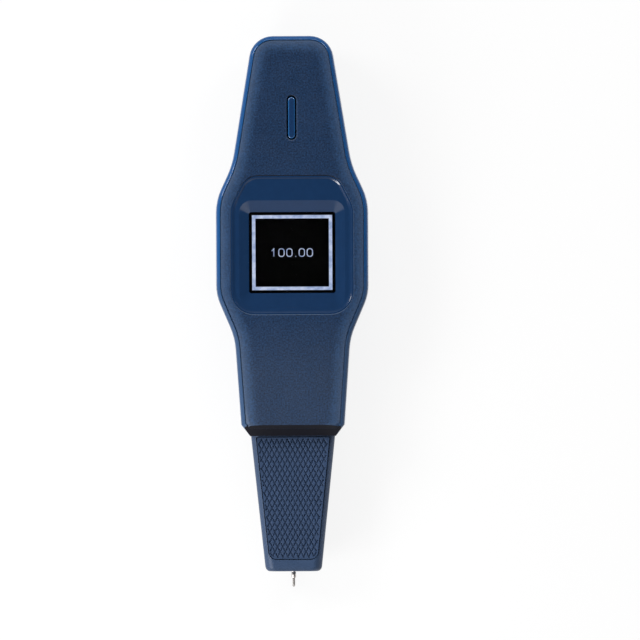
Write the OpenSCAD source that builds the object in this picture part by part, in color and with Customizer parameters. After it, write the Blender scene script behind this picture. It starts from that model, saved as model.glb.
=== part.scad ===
// Handheld diamond tester, lying on its back.
// X runs across, Y from the probe towards the button end, Z up to the display face.
// Lengths along the case are counted from the front end of the nose.

/* [Case] */
// Width across the display
body_w = 50; // [48:0.5:54]
// Thickness from the flat back to the display face
body_t = 25; // [22.5:0.25:27]
// Width where the lower shoulders begin
waist_w = 38; // [36.5:0.5:40]
// Width at the top of the skirt
skirt_w = 34; // [33:0.5:36]
// Width where the upper shoulders end
neck_w = 39.25; // [37:0.25:42]
// Width at the button end, before its corners are rounded
top_w = 25.5; // [24:0.5:28]
// Radius of the corners at the button end
top_r = 7.8; // [7:0.2:8.6]
// Length of the sloped skirt
skirt_l = 3.75; // [3.5:0.25:5]
// Length of the waist
waist_l = 28.5; // [27:0.5:33]
// Length of the lower shoulders
lower_shoulder_l = 14; // [13:0.5:16]
// Length of the straight sides
middle_l = 31; // [30:0.5:35]
// Length of the upper shoulders
upper_shoulder_l = 11.5; // [10.5:0.5:14]
// Length of the handle above the shoulders
handle_l = 42.25; // [40:0.25:48]
// Rise of the back towards the button end
back_rise = 6; // [3:0.5:7]
// Wall thickness of the shells
wall = 2.2; // [2:0.1:2.5]

/* [Face] */
// Width of the glossy rim round the face
rim_w = 1.5; // [1.3:0.1:2]
// Groove between rim and face panel
rim_groove = 0.2; // [0.15:0.05:0.4]
// Drop of the face from its middle to its edge
face_crown = 0.6; // [0.3:0.05:0.7]

/* [Display] */
// Width of the window
window_w = 28.25; // [27:0.25:29.5]
// Height of the window
window_h = 26.5; // [25.5:0.25:27.5]
// Depth of the bevel round the window
bevel_d = 1; // [0.7:0.1:1.1]
// Depth of the bezel's dish below the face
bezel_sink = 0.7; // [0.5:0.1:0.9]

/* [Button] */
// Width of the button
button_w = 2.25; // [2:0.25:3]
// Length of the button
button_l = 13.5; // [12:0.5:15]
// Gap between the button and its slot
button_gap = 0.45; // [0.35:0.05:0.6]
// Travel of the button
button_travel = 0.35; // [0.2:0.05:0.4]

/* [Nose] */
// Length of the nose in front of the skirt
nose_l = 44.25; // [42:0.25:47]
// Width at the front end
nose_tip_w = 18.25; // [17:0.25:19]
// Width at the skirt
nose_root_w = 27.5; // [26.5:0.25:28.5]
// Thickness at the front end
nose_tip_t = 11; // [10.5:0.25:12]
// Thickness at the skirt
nose_root_t = 15; // [14.5:0.25:15.5]
// Margin beside the grip pads
grip_margin = 1.8; // [1.5:0.1:2.4]
// Spacing of the knurl across the pad
knurl_pitch = 1.7; // [1.6:0.1:2.2]
// Angle of the knurl grooves from the length of the nose
knurl_angle = 28; // [24:1:32]
// Depth of the knurl grooves
knurl_depth = 0.4; // [0.25:0.05:0.45]

/* [Probe] */
// Reach of the tip in front of the nose
probe_out = 5.2; // [4.8:0.1:6]
// Reach of the sleeve in front of the nose
sleeve_out = 1.9; // [1.5:0.1:2.4]
// Diameter of the sleeve
sleeve_d = 1.5; // [1.4:0.1:1.8]
// Diameter of the tip
tip_d = 0.9; // [0.7:0.05:1]
// Travel of the probe into the nose
probe_travel = 2.5; // [1.5:0.25:3]
// Turns of the probe spring
spring_turns = 7; // [5:1:9]

/* [Hidden] */
$fn = 48;

// Stations along the case
s_skirt = nose_l + skirt_l;
s_waist = s_skirt + waist_l;
s_low = s_waist + lower_shoulder_l;
s_up = s_low + middle_l;
s_neck = s_up + upper_shoulder_l;
s_top = s_neck + handle_l;
y_nose = probe_out - (s_top + probe_out) / 2;
s_rise = s_up + 6.5;
s_end_wall = s_skirt + 0.5;

// Heights
panel_t = 1.8;
ceiling_t = 2;
panel_z = body_t - panel_t;
ceiling_z = panel_z - ceiling_t;
board_t = 1.6;
board_room = 2.7;
board_top = ceiling_z - board_room;
board_z = board_top - board_t;
usb_h = 2.6;
usb_w = 7.6;
usb_wall = 0.35;
usb_gap = 0.5;
seam_z = board_z - usb_h - usb_gap;
side_h = seam_z - back_rise;
nose_z = 0.46 * body_t;
lip = 0.5;
slope_z = nose_z + nose_root_t / 2 + lip;
skirt_back = nose_z - nose_root_t / 2 - lip;

// Clearances
fit = 0.1;
panel_fit = 0.04;
free_gap = 0.3;
run_fit = 0.05;

// Case screws, as [x, station]
screw_r = 1.15;
screw_head_r = 2.4;
screw_head_h = 1.8;
screw_bite = 0.6;
screw_seat_z = board_z - 6.9;
boss_r = 3.6;
boss_top_r = 2.6;
screw_low = 10;
screw_high = 13;
screw_x_low = (skirt_w + (waist_w - skirt_w) * screw_low / waist_l) / 2 - wall - boss_top_r - free_gap;
screw_x_high = (top_w + (neck_w - top_w) * screw_high / handle_l) / 2 - wall - boss_top_r - 2 * free_gap;
screw_at = [[screw_x_low, s_skirt + screw_low], [screw_x_high, s_top - screw_high]];

// Edge of the face panel, and how far its crown reaches in from there
face_edge = rim_w + rim_groove;
edge_w = 0.2;
edge_d = 0.2;
crown_w = top_r - face_edge - 0.3;

// Bezel and display
disp_c = s_low + 13.8;
bezel_hw = body_w / 2 - 5;
bezel_low = s_low - 6.3;
bezel_high = s_neck - 3.7;
bezel_lip_z = body_t - 0.25;
bezel_lip_w = 0.4;
bezel_slope = 1.25;
bezel_shift = 0.75;
dish_z = body_t - bezel_sink;
bezel_floor = body_t - 2.8;
lens_top = dish_z - bevel_d - 0.35;
lens_t = 1.2;
lens_lap = 1.4;
lens_r = 1.5;
module_w = window_w + 2 * lens_lap + 2.75;
module_l = window_h + 2 * lens_lap + 4.7;
module_t = 1.5;
module_top = lens_top - lens_t - 0.45;
module_gap = 0.65;
pad_inset = 2;
bevel_w = 6.3;
bevel_h = 8.5;
bevel_r = 4;
window_r = 0.8;
ribbon_w = 12;
ribbon_t = 0.3;
ribbon_run = 4;
ribbon_foot = 3.5;
ribbon_lead = 1.5;

// Parts on the board
cpu_s = 9;
cpu_h = 1.2;
amp_w = 5;
amp_l = 4;
amp_h = 1;
reg_w = 6;
reg_l = 5;
reg_h = 1.4;
chip_back = 15;
buzzer_r = 6;
buzzer_h = 4;
buzzer_at = s_neck + 10;
buzzer_hole_r = 1;
switch_s = 6;
plunger_r = 1.1;

// Button
button_c = s_neck + 0.362 * handle_l;
flange_top = ceiling_z - free_gap;
flange_t = 0.6;
flange_lap = 0.6;
button_edge = 0.5;
mouth_w = 0.45;
mouth_d = 0.3;
button_rise = 0.2;
switch_h = flange_top - flange_t - button_travel - free_gap - board_top;

// Cells and their bay
cell_r = 5.2;
cell_l = 44.5;
cell_pitch = 11.2;
nub_r = 1.9;
nub_l = 1;
cover_depth = 1.9;
cell_z = cover_depth + 0.5 + cell_r;
coil_l = 3.2;
coil_r = 3.4;
coil_end_r = 2.2;
coil_wire_r = 0.3;
plate_t = 0.4;
plate_w = 9;
bay_l = cell_l + coil_l + 2 * plate_t;
bay_lo = s_low + 7 - bay_l / 2;
bay_hi = bay_lo + bay_l;
bay_hw = cell_pitch / 2 + cell_r + 0.6;
bay_top = cell_z + cell_r + 0.25;
bay_wall = 1.3;
cover_hw = bay_hw + 2;
cover_lap = 2.5;
cover_t = 1.5;
cover_r = 3;
thumb_w = 12;
thumb_pitch = 1.8;

// Probe
sleeve_r = sleeve_d / 2;
tip_r = tip_d / 2;
bore_r = 2.5;
bush_r = 2;
bush_at = 0.8;
bush_l = 5.7;
bush_end = bush_at + bush_l;
carrier_lo = bush_end + free_gap;
carrier_l = 11.2;
carrier_hi = carrier_lo + carrier_l;
sleeve_in = 6;
tip_in = 8;
cone_l = 0.4;
spring_l = 15;
spring_r = 1.95;
spring_wire_r = 0.25;
guide_r = 4;
plug_lo = carrier_hi + spring_l;
plug_l = 5;
tail_end = s_end_wall + 3;
lead_r = 0.6;
conn_lo = s_skirt + 9;
conn_h = 3.4;
conn_w = 6;
conn_l = 4.5;
nose_wall = 2.4;

// Grip pads
grip_lo = 4.1;
grip_hi = nose_l - free_gap;
grip_groove = 0.3;
grip_proud = 0.15;
grip_sink = 0.95;
grip_tilt = atan((nose_root_t - nose_tip_t) / 2 / nose_l);
grip_low_r = 2.4;
grip_high_r = 0.5;
knurl_border = knurl_depth + 0.05;

// Outlines are mirrored in X. A half outline is a list of [x, y, outward normal x, y].
function unit(v) = v / norm(v);
function right_of(v) = [v[1], -v[0]];
function turned(v, a) = [v[0] * cos(a) - v[1] * sin(a), v[0] * sin(a) + v[1] * cos(a)];

function sharp(b, u, v) =
    let (m = (right_of(u) + right_of(v)) / (1 + right_of(u) * right_of(v)))
    [concat(b, m)];

function rounded(b, u, v, r, n) =
    let (
        a = atan2(u[0] * v[1] - u[1] * v[0], u * v),
        s = a > 0 ? 1 : -1,
        start = b - u * r * tan(abs(a) / 2),
        c = start - right_of(u) * r * s
    )
    [for (k = [0:n]) let (q = turned(right_of(u), a * k / n)) concat(c + q * r * s, q)];

// Corners run from the middle of the low end to the middle of the high end: [x, y, radius, steps]
function half_of(c) = [
    for (i = [1:len(c) - 2])
        let (
            a = [c[i - 1][0], c[i - 1][1]],
            b = [c[i][0], c[i][1]],
            d = [c[i + 1][0], c[i + 1][1]]
        )
        each c[i][2] == 0 ? sharp(b, unit(b - a), unit(d - b))
            : rounded(b, unit(b - a), unit(d - b), c[i][2], c[i][3])
];

function finer(h, step) = [
    for (i = [0:len(h) - 1])
        each i == len(h) - 1 ? [h[i]]
            : let (gap = h[i + 1] - h[i], k = max(1, ceil(norm([gap[0], gap[1]]) / step)))
            [for (j = [0:k - 1]) h[i] + gap * j / k]
];

function inset(h, d, low = -1000) = [for (p = h) [p[0] - d * p[2], max(p[1] - d * p[3], low)]];
function loop(p) = concat(p, [for (i = [len(p) - 1:-1:0]) [-p[i][0], p[i][1]]]);
function box_half(w, l, r, n) =
    half_of([[0, -l / 2], [w / 2, -l / 2, r, n], [w / 2, l / 2, r, n], [0, l / 2]]);

case_half = half_of([
    [0, nose_l],
    [nose_root_w / 2 + 0.35, nose_l, 0],
    [skirt_w / 2, s_skirt, 0],
    [waist_w / 2, s_waist, 22, 4],
    [body_w / 2, s_low, 16, 4],
    [body_w / 2, s_up, 19, 4],
    [neck_w / 2, s_neck, 30, 4],
    [top_w / 2, s_top, top_r, 8],
    [0, s_top]
]);
case_fine = finer(case_half, 8);

bezel_half = half_of([
    [0, bezel_low],
    [bezel_hw, bezel_low, 7.6, 8],
    [bezel_hw, s_up - 2.5, 9, 4],
    [neck_w / 2 - 4.8, bezel_high, 6, 5],
    [0, bezel_high]
]);

function pad_hw(y) = nose_tip_w / 2 + (nose_root_w - nose_tip_w) / 2 * y / nose_l - grip_margin;
grip_half = half_of([
    [0, grip_lo],
    [pad_hw(grip_lo), grip_lo, grip_low_r, 6],
    [pad_hw(grip_hi), grip_hi, grip_high_r, 4],
    [0, grip_hi]
]);

// Where a line from p along d meets the border of the pad, as [start, end]
function pad_span(p, d) =
    let (ends = [for (q = grip_half, s = [-1, 1])
        let (n = [s * q[2], q[3]], room = n * ([s * q[0], q[1]] - p) - knurl_border) [n * d, room]])
    [max([for (e = ends) if (e[0] < 0) e[1] / e[0]]), min([for (e = ends) if (e[0] > 0) e[1] / e[0]])];

// Height of the back above the plane that the tester lies on
function back_z(y) =
    y < s_skirt ? skirt_back * (s_skirt - y) / skirt_l
    : y < s_rise ? 0 : back_rise * pow((y - s_rise) / (s_top - s_rise), 2);

// Ring of the case at an inset d and a height z, measured from the back if it follows the back
function case_ring(d, z, on_back = false, low = -1000) =
    [for (p = loop(inset(case_fine, d, low))) [p[0], p[1], z + (on_back ? back_z(p[1]) : 0)]];

// Ring of the face panel; its crown runs straight out over the skirt
function face_ring(d, z) = [for (p = loop([for (q = case_fine)
    [q[0] - d * q[2], q[1] - (q[1] < s_skirt + 1 ? min(d, face_edge + edge_w) : d) * q[3]]])) [p[0], p[1], z]];

// Ring of the nose at a station, grown by g
function nose_half(y, g) = box_half(
    nose_tip_w + (nose_root_w - nose_tip_w) * y / nose_l + 2 * g,
    nose_tip_t + (nose_root_t - nose_tip_t) * y / nose_l + 2 * g, 3, 5);
function nose_ring(y, g) = [for (p = loop(inset(nose_half(y, g), 0))) [p[0], y, nose_z + p[1]]];

// Closed solid through a stack of mirrored rings
module skin(rings) {
    n = len(rings[0]);
    m = n / 2;
    top = (len(rings) - 1) * n;
    sides = [for (j = [0:len(rings) - 2], i = [0:n - 1])
        let (a = j * n + i, b = j * n + (i + 1) % n)
        each [[a, b + n, b], [a, a + n, b + n]]];
    low = [for (i = [0:m - 2]) [i, i + 1, n - 2 - i, n - 1 - i]];
    high = [for (i = [0:m - 2]) [top + n - 1 - i, top + n - 2 - i, top + i + 1, top + i]];
    polyhedron([for (r = rings) each r], concat(sides, low, high), convexity = 8);
}

// Tube round a path; each path point is [centre, first cross direction, second cross direction]
module tube(path, r, sides = 6) {
    k = len(path);
    pts = [for (p = path, j = [0:sides - 1])
        let (a = 360 * j / sides) p[0] + r * (cos(a) * p[1] + sin(a) * p[2])];
    walls = [for (i = [0:k - 2], j = [0:sides - 1])
        let (a = i * sides + j, b = i * sides + (j + 1) % sides)
        each [[a, b, b + sides], [a, b + sides, a + sides]]];
    first = [for (j = [sides - 1:-1:0]) j];
    last = [for (j = [0:sides - 1]) (k - 1) * sides + j];
    polyhedron(pts, concat(walls, [first, last]), convexity = 8);
}

// Helix along Y from y0 to y1
function helix(y0, y1, r0, r1, turns, steps = 8) = [
    for (i = [0:turns * steps])
        let (t = i / (turns * steps), a = 360 * turns * t, e = [cos(a), 0, sin(a)])
        [e * (r0 + (r1 - r0) * t) + [0, y0 + (y1 - y0) * t, 0], e, [0, 1, 0]]
];

module at_nose() translate([0, y_nose, 0]) children();
module plate(half, z0, z1, d = 0, low = -1000)
    translate([0, 0, z0]) linear_extrude(z1 - z0) polygon(loop(inset(half, d, low)));
module block(w, y0, y1, z0, z1) translate([-w / 2, y0, z0]) cube([w, y1 - y0, z1 - z0]);
module rod(r, y0, y1) translate([0, y0, nose_z]) rotate([-90, 0, 0]) cylinder(r = r, h = y1 - y0);
module post(p, r, z0, z1) translate([p[0], p[1], z0]) cylinder(r = r, h = z1 - z0);
module along_x(w) rotate([90, 0, 90]) linear_extrude(w, center = true) children();
module slot(w, l, z0, z1) translate([0, button_c, z0]) linear_extrude(z1 - z0) {
    square([w, l - w], center = true);
    for (s = [-1, 1]) translate([0, s * (l - w) / 2]) circle(d = w);
}

module screw_places() for (p = screw_at, s = [-1, 1]) translate([s * p[0], p[1], 0]) children();

// Everything in front of the sloped skirt
module skirt_cut() {
    run = skirt_l / (body_t - slope_z);
    along_x(80) polygon([
        [s_skirt + 5 * run, body_t + 5],
        [nose_l - 2 * run, slope_z - 2],
        [nose_l - 12, slope_z - 2],
        [nose_l - 12, body_t + 5]
    ]);
}

module nose_passage() skin([nose_ring(s_end_wall + 2, fit), nose_ring(nose_l - 3, fit)]);

// Opening for the bezel, with an eased edge at the face
module bezel_hole(z0) {
    plate(bezel_half, z0, body_t + 5, -panel_fit);
    hull() {
        plate(bezel_half, bezel_lip_z, bezel_lip_z + 0.01, -panel_fit);
        plate(bezel_half, body_t + 0.2, body_t + 1, -panel_fit - bezel_lip_w);
    }
}

// Slot of the button, with a rounded edge at the face
function slot_ring(g, z) =
    let (w = button_w + 2 * g, l = button_l + 2 * g)
    [for (p = loop(inset(box_half(w, l, w / 2 - 0.05, 10), 0))) [p[0], p[1] + button_c, z]];
module button_hole() skin([
    slot_ring(button_gap, ceiling_z - 1),
    for (a = [0:30:90]) slot_ring(button_gap + mouth_w * (1 - cos(a)), body_t - mouth_d * (1 - sin(a))),
    slot_ring(button_gap + mouth_w, body_t + 1)
]);

module front_shell() color("#1a4f8f") at_nose() difference() {
    union() {
        difference() {
            skin([
                case_ring(0.25, seam_z),
                case_ring(0, seam_z + 0.3),
                case_ring(0.2, body_t - 3.2),
                for (a = [15:15:75]) case_ring(0.2 + rim_w * (1 - cos(a)), body_t - 2.3 + 1.85 * sin(a)),
                case_ring(rim_w + 0.2, body_t - 0.45)
            ]);
            plate(case_half, seam_z - 1, ceiling_z, wall, s_end_wall);
        }
        screw_places() post([0, 0], boss_top_r + free_gap, board_top, ceiling_z + 0.5);
    }
    plate(case_half, panel_z, body_t + 5, rim_w);
    skirt_cut();
    bezel_hole(bezel_floor);
    translate([0, disp_c, ceiling_z - 1])
        linear_extrude(6)
        polygon(loop(inset(box_half(module_w + 2 * module_gap, module_l + 2 * module_gap, 2, 4), 0)));
    button_hole();
    nose_passage();
    block(usb_w + 2 * usb_gap, s_top - wall - 1, s_top + 1, seam_z - 1, board_z + free_gap);
    screw_places() post([0, 0], screw_r + 0.05, board_top - 1, ceiling_z + 1);
}

module face_panel() color("#2c4063") at_nose() difference() {
    skin([
        face_ring(rim_w + panel_fit, panel_z),
        face_ring(rim_w + panel_fit, body_t - face_crown - 1.25 * edge_d),
        face_ring(face_edge, body_t - face_crown - edge_d),
        face_ring(face_edge + edge_w, body_t - face_crown),
        for (k = [0.2, 0.4, 0.6, 0.8, 1]) face_ring(face_edge + k * crown_w, body_t - face_crown * pow(1 - k, 2))
    ]);
    skirt_cut();
    bezel_hole(panel_z - 1);
    button_hole();
}

module display_bezel() color("#173f78") at_nose() difference() {
    plate(bezel_half, bezel_floor, bezel_lip_z);
    hull() {
        plate(bezel_half, bezel_lip_z, bezel_lip_z + 1, bezel_lip_w);
        translate([0, 0.4 * bezel_shift, 0])
            plate(bezel_half, 0.6 * dish_z + 0.4 * bezel_lip_z, body_t, bezel_lip_w + 0.4 * bezel_slope);
        translate([0, 0.8 * bezel_shift, 0])
            plate(bezel_half, 0.9 * dish_z + 0.1 * bezel_lip_z, body_t, bezel_lip_w + 0.75 * bezel_slope);
        translate([0, bezel_shift, 0]) plate(bezel_half, dish_z, body_t, bezel_lip_w + bezel_slope);
    }
    hull() {
        translate([0, disp_c - 0.45, dish_z]) linear_extrude(1)
            polygon(loop(inset(box_half(window_w + bevel_w, window_h + bevel_h, bevel_r, 6), 0)));
        translate([0, disp_c, dish_z - bevel_d]) linear_extrude(0.01)
            polygon(loop(inset(box_half(window_w, window_h, window_r, 4), 0)));
    }
    translate([0, disp_c, bezel_floor - 1])
        linear_extrude(4) polygon(loop(inset(box_half(window_w, window_h, window_r, 4), 0)));
    translate([0, disp_c, bezel_floor - 1]) linear_extrude(lens_top - bezel_floor + 1)
        polygon(loop(inset(box_half(window_w + 2 * lens_lap, window_h + 2 * lens_lap, lens_r, 4), -fit)));
}

module display_window() color("#10141c", 0.5) at_nose() translate([0, disp_c, lens_top - lens_t])
    linear_extrude(lens_t)
    polygon(loop(inset(box_half(window_w + 2 * lens_lap, window_h + 2 * lens_lap, lens_r, 4), 0)));

module display_module() color("#08090b") at_nose()
    block(module_w, disp_c - module_l / 2, disp_c + module_l / 2, module_top - module_t, module_top);

module display_pad() color("#222222") at_nose()
    block(module_w - 2 * pad_inset, disp_c - module_l / 2 + pad_inset, disp_c + module_l / 2 - pad_inset,
        board_top, module_top - module_t);

// Strip that leaves the low edge of the display and lands on the board
module display_ribbon() color("#b5651d") at_nose() {
    e = disp_c - module_l / 2;
    a = e - ribbon_lead;
    b = a - ribbon_run;
    c = b - ribbon_foot;
    z1 = module_top - 0.8 * module_t;
    z0 = board_top;
    along_x(ribbon_w) polygon([
        [e, z1], [a, z1], [b, z0], [c, z0],
        [c, z0 + ribbon_t], [b + 0.1, z0 + ribbon_t], [a + 0.1, z1 + ribbon_t], [e, z1 + ribbon_t]
    ]);
}

module main_board() color("#1c6b3a") at_nose() difference() {
    intersection() {
        plate(case_half, board_z, board_top, wall + 0.6);
        block(60, s_skirt + 5.5, s_top - wall - 0.8, board_z - 1, board_top + 1);
    }
    screw_places() post([0, 0], screw_r + 0.2, board_z - 1, board_top + 1);
}

module board_chips() color("#151515") at_nose() {
    translate([0, 0, board_top]) {
        translate([-cpu_s / 2, s_waist + 1 - cpu_s, 0]) cube([cpu_s, cpu_s, cpu_h]);
        translate([-cpu_s, s_waist - chip_back, 0]) cube([amp_w, amp_l, amp_h]);
        translate([cpu_s / 2, s_waist - chip_back, 0]) cube([reg_w, reg_l, reg_h]);
    }
    translate([-cpu_s, s_neck - 1, board_z - cpu_h]) cube([reg_w, reg_l, cpu_h]);
}

module probe_connector() color("#e8e4d8") at_nose() difference() {
    block(conn_w, conn_lo, conn_lo + conn_l, board_z - conn_h, board_z);
    translate([0, conn_lo - 1, board_z - conn_h / 2]) rotate([-90, 0, 0]) cylinder(r = lead_r + 0.1, h = 3);
}

module usb_socket() color("#c8ccd0") at_nose() difference() {
    block(usb_w, s_top - wall - 4.4, s_top - 0.9, board_z - usb_h, board_z);
    block(usb_w - 2 * usb_wall, s_top - wall - 3.9, s_top, board_z - usb_h + usb_wall, board_z - usb_wall);
    block(0.7 * usb_w, s_top - wall - 5, s_top - wall - 3, board_z - 0.6 * usb_h, board_z - 0.4 * usb_h);
}

module buzzer() color("#1b1b1b") at_nose() difference() {
    post([0, buzzer_at], buzzer_r, board_z - buzzer_h, board_z);
    post([0, buzzer_at], buzzer_hole_r, board_z - buzzer_h - 1, board_z - 0.6 * buzzer_h);
}

module tact_switch() color("#3a3a3c") at_nose() difference() {
    block(switch_s, button_c - switch_s / 2, button_c + switch_s / 2, board_top, board_top + switch_h);
    post([0, button_c], plunger_r + fit, board_top - 1, board_top + switch_h + 1);
}

module switch_plunger() color("#c9a227") at_nose()
    post([0, button_c], plunger_r, board_top + button_travel + run_fit, flange_top - flange_t);

module power_button() color("#1d5ba6") at_nose() {
    lap = 2 * (button_gap + flange_lap);
    crown = body_t + button_rise - button_edge;
    slot(button_w + lap, button_l + lap, flange_top - flange_t, flange_top);
    slot(button_w, button_l, flange_top, crown);
    hull() {
        slot(button_w, button_l, crown - 0.05, crown);
        slot(button_w - 0.6 * button_edge, button_l - 0.6 * button_edge, crown, crown + 0.6 * button_edge);
        slot(button_w - 2 * button_edge, button_l - 2 * button_edge, crown, body_t + button_rise);
    }
}

module rear_shell() color("#184a86") at_nose() difference() {
    union() {
        skin([
            case_ring(4.2, 0, true),
            case_ring(2.1, 0.07 * side_h, true),
            case_ring(0.85, 0.23 * side_h, true),
            case_ring(0.2, 0.45 * side_h, true),
            case_ring(0, 0.7 * side_h, true),
            case_ring(0, seam_z - 0.3),
            case_ring(0.25, seam_z),
            case_ring(wall, seam_z, false, s_end_wall),
            case_ring(wall, wall + 0.34 * side_h, true, s_end_wall),
            case_ring(wall + 1, wall + 0.1 * side_h, true, s_end_wall),
            case_ring(wall + 2.4, wall, true, s_end_wall)
        ]);
        block(2 * (bay_hw + bay_wall), bay_lo - bay_wall, bay_hi + bay_wall, cover_depth, bay_top + bay_wall);
        block(2 * (cover_hw + bay_wall), bay_lo - cover_lap - bay_wall, bay_hi + cover_lap + bay_wall,
            cover_depth, cover_depth + 1.6);
        for (x = [-8, 8], y = [bay_lo + 6, bay_hi - 6]) post([x, y], 1.6, bay_top, board_z);
        for (p = screw_at, s = [-1, 1]) {
            post([s * p[0], p[1]], boss_r, max(1.6, back_z(p[1] + boss_r) + 0.3), screw_seat_z + 2);
            post([s * p[0], p[1]], boss_top_r, screw_seat_z, board_z);
        }
    }
    block(2 * bay_hw, bay_lo, bay_hi, -1, bay_top);
    translate([0, (bay_lo + bay_hi) / 2, -1]) linear_extrude(cover_depth + 1)
        polygon(loop(inset(box_half(2 * cover_hw, bay_l + 2 * cover_lap, cover_r, 5), 0)));
    screw_places() {
        post([0, 0], screw_head_r + 0.2, -1, screw_seat_z);
        post([0, 0], screw_r + 0.15, screw_seat_z - 1, board_z + 1);
    }
    nose_passage();
}

module battery_cover() color("#184a86") at_nose() translate([0, (bay_lo + bay_hi) / 2, 0]) {
    difference() {
        translate([0, 0, cover_depth - free_gap - cover_t]) linear_extrude(cover_t)
            polygon(loop(inset(box_half(2 * cover_hw, bay_l + 2 * cover_lap, cover_r, 5), free_gap)));
        for (k = [0:5]) translate([-thumb_w / 2, bay_l / 2 - thumb_w / 2 - thumb_pitch * k, -1])
            cube([thumb_w, thumb_pitch / 2, 1.6]);
    }
    for (y = [-12, 12]) translate([-bay_hw + 0.6, y - 0.8, cover_depth - free_gap])
        cube([2 * bay_hw - 1.2, 1.6, 0.4]);
}

// Cell with its button end at +Y
module cell() color("#b7842f") rotate([-90, 0, 0]) {
    cylinder(r = cell_r, h = cell_l - nub_l);
    cylinder(r = nub_r, h = cell_l);
}

module battery_1() at_nose() translate([-cell_pitch / 2, bay_lo + plate_t + coil_l, cell_z]) cell();
module battery_2() at_nose() translate([cell_pitch / 2, bay_hi - plate_t - coil_l, cell_z])
    rotate([0, 0, 180]) cell();

module battery_springs() color("#c0c4c8") at_nose() {
    translate([-cell_pitch / 2, 0, cell_z])
        tube(helix(bay_lo + plate_t + coil_wire_r, bay_lo + plate_t + coil_l - coil_wire_r,
            coil_r, coil_end_r, 2.5), coil_wire_r);
    translate([cell_pitch / 2, 0, cell_z])
        tube(helix(bay_hi - plate_t - coil_l + coil_wire_r, bay_hi - plate_t - coil_wire_r,
            coil_end_r, coil_r, 2.5), coil_wire_r);
}

module battery_plates() color("#c0c4c8") at_nose()
    for (x = [-1, 1], y = [bay_lo, bay_hi - plate_t])
        translate([x * cell_pitch / 2 - plate_w / 2, y, cell_z - plate_w / 2])
        cube([plate_w, plate_t, plate_w]);

module case_screws() color("#9aa0a6") at_nose() screw_places() {
    post([0, 0], screw_head_r, screw_seat_z - screw_head_h, screw_seat_z);
    post([0, 0], screw_r, screw_seat_z, ceiling_z + screw_bite);
}

// Pad outline on the sloping face of the nose, grown by g, between heights above that face
module grip_plate(g, z0, z1) plate(grip_half, z0, z1, -g);

module on_nose_face() translate([0, 0, nose_z + nose_tip_t / 2]) rotate([grip_tilt, 0, 0]) children();
module on_nose_back() translate([0, 0, 2 * nose_z]) mirror([0, 0, 1]) on_nose_face() children();

// Pad with two families of crossing V grooves
module knurled_pad() difference() {
    grip_plate(0, -grip_sink, grip_proud);
    mid = (grip_lo + grip_hi) / 2;
    reach = nose_root_w / 2 + (grip_hi - grip_lo) / 2 * tan(knurl_angle);
    side = knurl_depth * sqrt(2);
    for (s = [-1, 1], k = [-floor(reach / knurl_pitch):floor(reach / knurl_pitch)]) {
        span = pad_span([k * knurl_pitch, mid], [-s * sin(knurl_angle), cos(knurl_angle)]);
        if (span[1] - span[0] > knurl_pitch / 2)
            translate([k * knurl_pitch, mid, grip_proud]) rotate([0, 0, s * knurl_angle])
                translate([0, span[0], -knurl_depth]) rotate([0, -45, 0])
                cube([side, span[1] - span[0], side]);
    }
}

module nose_housing() color("#31496f") at_nose() difference() {
    union() {
        skin([
            nose_ring(s_end_wall + fit, 0),
            nose_ring(1.5, 0),
            nose_ring(0.75, -0.18),
            nose_ring(0.25, -0.6),
            nose_ring(0, -1.2)
        ]);
        block(nose_root_w - 4, s_end_wall + fit, s_end_wall + fit + 2, wall + 1, ceiling_z - 0.5);
        rod(guide_r, 5, tail_end);
    }
    difference() {
        skin([nose_ring(s_end_wall + 4, -nose_wall), nose_ring(8, -nose_wall)]);
        rod(guide_r, 4, tail_end + 5);
        block(60, 0, s_end_wall + 1, nose_z - 0.8, nose_z + 0.8);
    }
    rod(sleeve_r + 0.2, -1, 2);
    rod(bush_r + 0.05, bush_at, bush_end + 1);
    rod(bore_r, bush_end, tail_end + 5);
    on_nose_face() grip_plate(grip_groove, -grip_sink, 2);
    on_nose_back() grip_plate(grip_groove, -grip_sink, 2);
}

module front_grip() color("#2e4468") at_nose() on_nose_face() knurled_pad();
module rear_grip() color("#2e4468") at_nose() on_nose_back() knurled_pad();

module probe_bush() color("#b08d3c") at_nose() difference() {
    rod(bush_r, bush_at, bush_end);
    rod(sleeve_r + run_fit, 0, bush_end + 1);
}

module probe_sleeve() color("#b9b4b0") at_nose() difference() {
    union() {
        rod(sleeve_r, -sleeve_out, carrier_lo + sleeve_in);
        translate([0, -sleeve_out, nose_z]) rotate([90, 0, 0])
            cylinder(r1 = sleeve_r, r2 = tip_r + 0.12, h = cone_l);
    }
    rod(tip_r + 0.02, -sleeve_out - 1, carrier_lo + sleeve_in + 1);
    translate([0, -0.45, nose_z]) rotate([-90, 0, 0]) difference() {
        cylinder(r = sleeve_r + 1, h = 0.4);
        translate([0, 0, -1]) cylinder(r = sleeve_r - 0.1, h = 3);
    }
}

module probe_tip() color("#8f8a86") at_nose() {
    rod(tip_r, -probe_out + cone_l, carrier_lo + tip_in);
    translate([0, -probe_out + cone_l, nose_z]) rotate([90, 0, 0])
        cylinder(r1 = tip_r, r2 = 0.15, h = cone_l);
}

module probe_carrier() color("#c7b68a") at_nose() difference() {
    rod(bore_r - run_fit, carrier_lo, carrier_hi);
    rod(sleeve_r + 0.02, carrier_lo - 1, carrier_lo + sleeve_in);
    rod(tip_r + 0.02, carrier_lo, carrier_lo + tip_in);
}

module probe_spring() color("#aab0b6") at_nose() translate([0, 0, nose_z])
    tube(helix(carrier_hi + spring_wire_r, plug_lo - spring_wire_r, spring_r, spring_r, spring_turns),
        spring_wire_r);

module probe_end_plug() color("#5a5d62") at_nose() difference() {
    rod(bore_r - 0.02, plug_lo, plug_lo + plug_l);
    rod(lead_r + 0.1, plug_lo - 1, plug_lo + plug_l + 1);
}

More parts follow.
